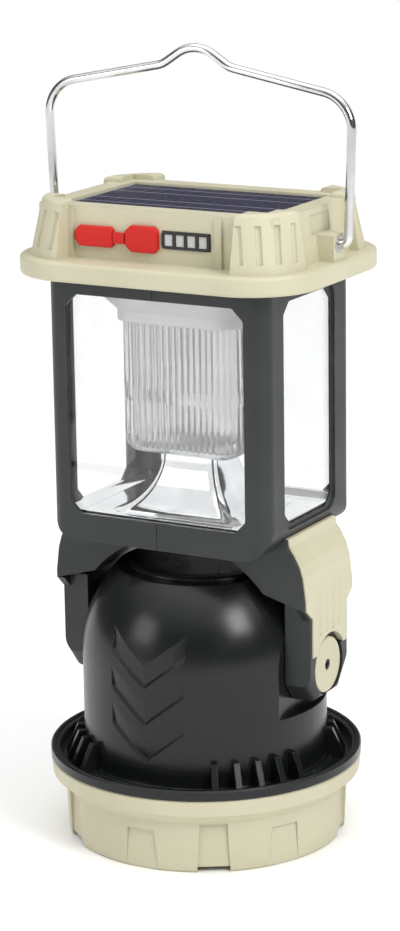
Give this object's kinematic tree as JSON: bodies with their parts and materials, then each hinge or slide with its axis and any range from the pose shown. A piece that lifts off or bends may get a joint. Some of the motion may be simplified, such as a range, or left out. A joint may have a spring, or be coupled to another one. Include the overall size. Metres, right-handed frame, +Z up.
{
  "type": "solar lantern",
  "caption": "Folding solar lantern: windowed lamp body with a solar panel top and wire bail, tilting in a yoke on a domed searchlight head that is its base.",
  "frame": {"origin": "middle of the bezel's bottom edge, on which the lantern stands", "axes": "+Z up, -Y the side with the port cover and charge indicator, +X to the right of that side"},
  "size_m": [0.1206, 0.1112, 0.2801],
  "materials": {
    "charcoal_plastic": "moulded plastic, fine satin grain",
    "cream_plastic": "moulded plastic, satin",
    "clear_plastic": "clear moulded plastic",
    "frosted_plastic": "clear ribbed plastic",
    "chrome_plating": "bright vacuum plating",
    "chrome_wire": "bright plated wire",
    "steel": "zinc plated",
    "dark_steel": "black oxide",
    "aluminium": "satin",
    "black_rubber": "matt",
    "red_rubber": "satin silicone rubber",
    "white_board": "white solder mask",
    "green_board": "green solder mask",
    "white_plastic": "satin",
    "black_plastic": "gloss",
    "grey_lens": "translucent grey",
    "battery_wrap": "shrink sleeve",
    "solar_glass": "epoxy coated cells"
  },
  "bodies": {
    "searchlight_head": {"head_housing": "charcoal_plastic", "gusset_ribs": "charcoal_plastic", "head_top_cap": "charcoal_plastic", "bezel_ring": "cream_plastic", "searchlight_lens": "clear_plastic", "lens_seal": "black_rubber", "searchlight_reflector": "chrome_plating", "searchlight_led_board": "white_board", "heat_sink": "aluminium", "heat_sink_screws": "steel", "battery_holder": "black_plastic", "battery_cells": "battery_wrap", "pivot_pins": "steel", "pivot_screws": "dark_steel", "friction_washers": "white_plastic"},
    "bail": {"bail_handle": "chrome_wire"},
    "usb_port_flap": {"usb_flap": "red_rubber"},
    "charge_port_flap": {"charge_flap": "red_rubber"},
    "lantern_push_button": {"lantern_button": "charcoal_plastic"},
    "searchlight_push_button": {"searchlight_button": "charcoal_plastic"},
    "lantern_body": {"left_arm": "charcoal_plastic", "right_arm": "charcoal_plastic", "left_arm_cover": "cream_plastic", "right_arm_cover": "cream_plastic", "left_pivot_cap": "cream_plastic", "right_pivot_cap": "cream_plastic", "arm_screws": "steel", "left_body_shell": "charcoal_plastic", "right_body_shell": "charcoal_plastic", "clear_sleeve": "clear_plastic", "reflector_tray": "chrome_plating", "reflector_pedestal": "chrome_plating", "chamber_ceiling": "white_plastic", "ribbed_diffuser": "frosted_plastic", "lantern_led_board": "white_board", "top_cover": "cream_plastic", "top_base_plate": "charcoal_plastic", "top_cover_screws": "steel", "body_screws": "steel", "panel_gasket": "black_rubber", "solar_panel": "solar_glass", "usb_output_socket": "steel", "charge_socket": "steel", "control_board": "green_board", "board_screws": "steel", "indicator_window": "black_plastic", "indicator_lenses": "grey_lens", "indicator_board": "green_board", "switch_board": "green_board", "port_cover_strap": "red_rubber", "handle_bushes": "steel"}
  },
  "joints": [
    {"name": "body_tilt", "type": "hinge", "parent": "searchlight_head", "child": "lantern_body", "pos_m": [0, 0, 0.0666], "axis": [1, 0, 0], "range_deg": [-90, 90]},
    {"name": "bail_swing", "type": "hinge", "parent": "lantern_body", "child": "bail", "pos_m": [0, 0, 0.2152], "axis": [1, 0, 0], "range_deg": [-90, 90]},
    {"name": "usb_flap_open", "type": "hinge", "parent": "lantern_body", "child": "usb_port_flap", "pos_m": [-0.01515, -0.0324, 0.2175], "axis": [0, 0, 1], "range_deg": [0, 90]},
    {"name": "charge_flap_open", "type": "hinge", "parent": "lantern_body", "child": "charge_port_flap", "pos_m": [-0.01055, -0.0324, 0.2175], "axis": [0, 0, -1], "range_deg": [0, 90]},
    {"name": "lantern_button_press", "type": "slide", "parent": "lantern_body", "child": "lantern_push_button", "axis": [0, -1, 0], "range_m": [0, 0.001], "stiffness_N_per_m": 400, "springref_m": -0.0004},
    {"name": "searchlight_button_press", "type": "slide", "parent": "lantern_body", "child": "searchlight_push_button", "axis": [0, -1, 0], "range_m": [0, 0.001], "stiffness_N_per_m": 400, "springref_m": -0.0004}
  ]
}
